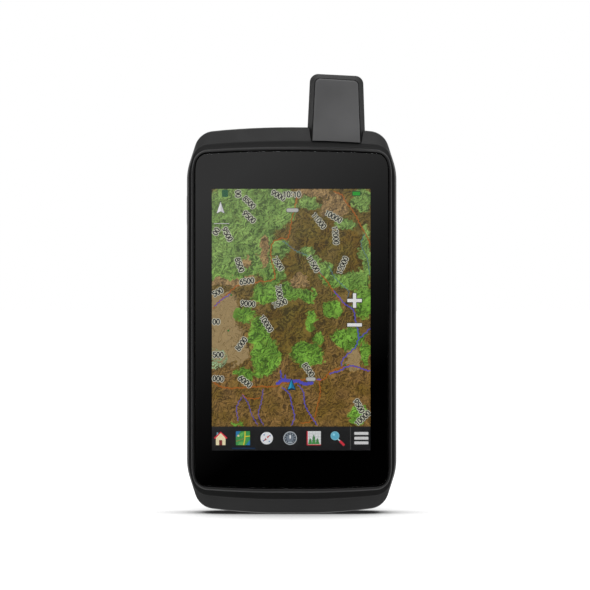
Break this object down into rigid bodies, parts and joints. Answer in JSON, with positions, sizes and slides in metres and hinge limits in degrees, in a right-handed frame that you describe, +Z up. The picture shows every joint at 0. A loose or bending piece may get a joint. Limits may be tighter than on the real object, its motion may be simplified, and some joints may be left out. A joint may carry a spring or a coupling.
{
  "type": "handheld gps unit",
  "caption": "Rugged handheld navigator with a tall touch screen, stub antenna, ribbed side grips, weather caps and a latched battery door.",
  "frame": {"origin": "under the middle of the case, on the surface the unit stands on", "axes": "+Z up along the unit's height, towards the antenna; -Y out of the screen; +X to the right seen from the front"},
  "size_m": [0.0873, 0.033, 0.1829],
  "materials": {
    "case_plastic": "fine-textured dark grey",
    "antenna_cover": "satin mid grey",
    "cover_glass": "polished, clear",
    "mask_ink": "opaque black ink",
    "display": "lit colour display showing a terrain map",
    "backlight": "plain sheet",
    "grip_rubber": "matt, ridged",
    "button_plastic": "satin",
    "cap_rubber": "matt",
    "seal_rubber": "smooth silicone",
    "frame_metal": "die cast",
    "circuit_board": "solder mask",
    "shield_metal": "tinned",
    "switch_plastic": "moulded",
    "flex_film": "amber film",
    "screw_steel": "black oxide",
    "latch_steel": "satin stainless",
    "connector_steel": "satin",
    "contact_gold": "gold plated",
    "mount_plastic": "glass-filled nylon",
    "battery_case": "smooth",
    "antenna_former": "ceramic-filled"
  },
  "bodies": {
    "case": {"front_housing": "case_plastic", "rear_housing": "case_plastic", "antenna_housing": "case_plastic", "antenna_front_cover": "antenna_cover", "cover_glass": "cover_glass", "bezel_mask": "mask_ink", "display_panel": "display", "display_backlight": "backlight", "left_grip": "grip_rubber", "right_grip": "grip_rubber", "housing_gasket": "seal_rubber", "mid_frame": "frame_metal", "main_board": "circuit_board", "rf_shield": "shield_metal", "memory_card_holder": "shield_metal", "power_switch": "switch_plastic", "battery_contacts": "switch_plastic", "contact_block": "switch_plastic", "speaker": "switch_plastic", "display_flex": "flex_film", "housing_screw_1": "screw_steel", "housing_screw_2": "screw_steel", "housing_screw_3": "screw_steel", "housing_screw_4": "screw_steel", "housing_screw_5": "screw_steel", "housing_screw_6": "screw_steel", "mount_screw_1": "screw_steel", "mount_screw_2": "screw_steel", "usb_socket": "connector_steel", "speaker_mesh": "connector_steel", "antenna_jack": "contact_gold", "contact_pad_1": "contact_gold", "contact_pad_2": "contact_gold", "contact_pad_3": "contact_gold", "contact_pad_4": "contact_gold", "mount_plate": "mount_plastic", "battery_pack": "battery_case", "antenna_element": "antenna_former"},
    "power_button": {"power_button": "button_plastic"},
    "battery_door": {"battery_door": "case_plastic", "door_gasket": "seal_rubber"},
    "door_latch": {"door_latch": "latch_steel", "latch_cam": "latch_steel"},
    "d_ring": {"d_ring": "latch_steel"},
    "usb_cap": {"usb_cap": "cap_rubber"},
    "antenna_jack_cap": {"antenna_jack_cap": "cap_rubber"}
  },
  "joints": [
    {"name": "power_press", "type": "slide", "parent": "case", "child": "power_button", "axis": [1, 0, 0], "range_m": [0, 0.0005], "stiffness_N_per_m": 2500},
    {"name": "door_open", "type": "hinge", "parent": "case", "child": "battery_door", "pos_m": [0, 0.0144, 0.1107], "axis": [1, 0, 0], "range_deg": [0, 45]},
    {"name": "latch_turn", "type": "hinge", "parent": "battery_door", "child": "door_latch", "pos_m": [0, 0.0149, 0.028], "axis": [0, 1, 0], "range_deg": [0, 90]},
    {"name": "ring_fold", "type": "hinge", "parent": "door_latch", "child": "d_ring", "pos_m": [0, 0.0149, 0.0304], "axis": [1, 0, 0], "range_deg": [0, 90]},
    {"name": "usb_cap_open", "type": "hinge", "parent": "case", "child": "usb_cap", "pos_m": [0.022, 0.0151, 0.1199], "axis": [-1, 0, 0], "range_deg": [0, 90]},
    {"name": "jack_cap_open", "type": "hinge", "parent": "case", "child": "antenna_jack_cap", "pos_m": [0.022, 0.0151, 0.1356], "axis": [-1, 0, 0], "range_deg": [0, 90]}
  ]
}
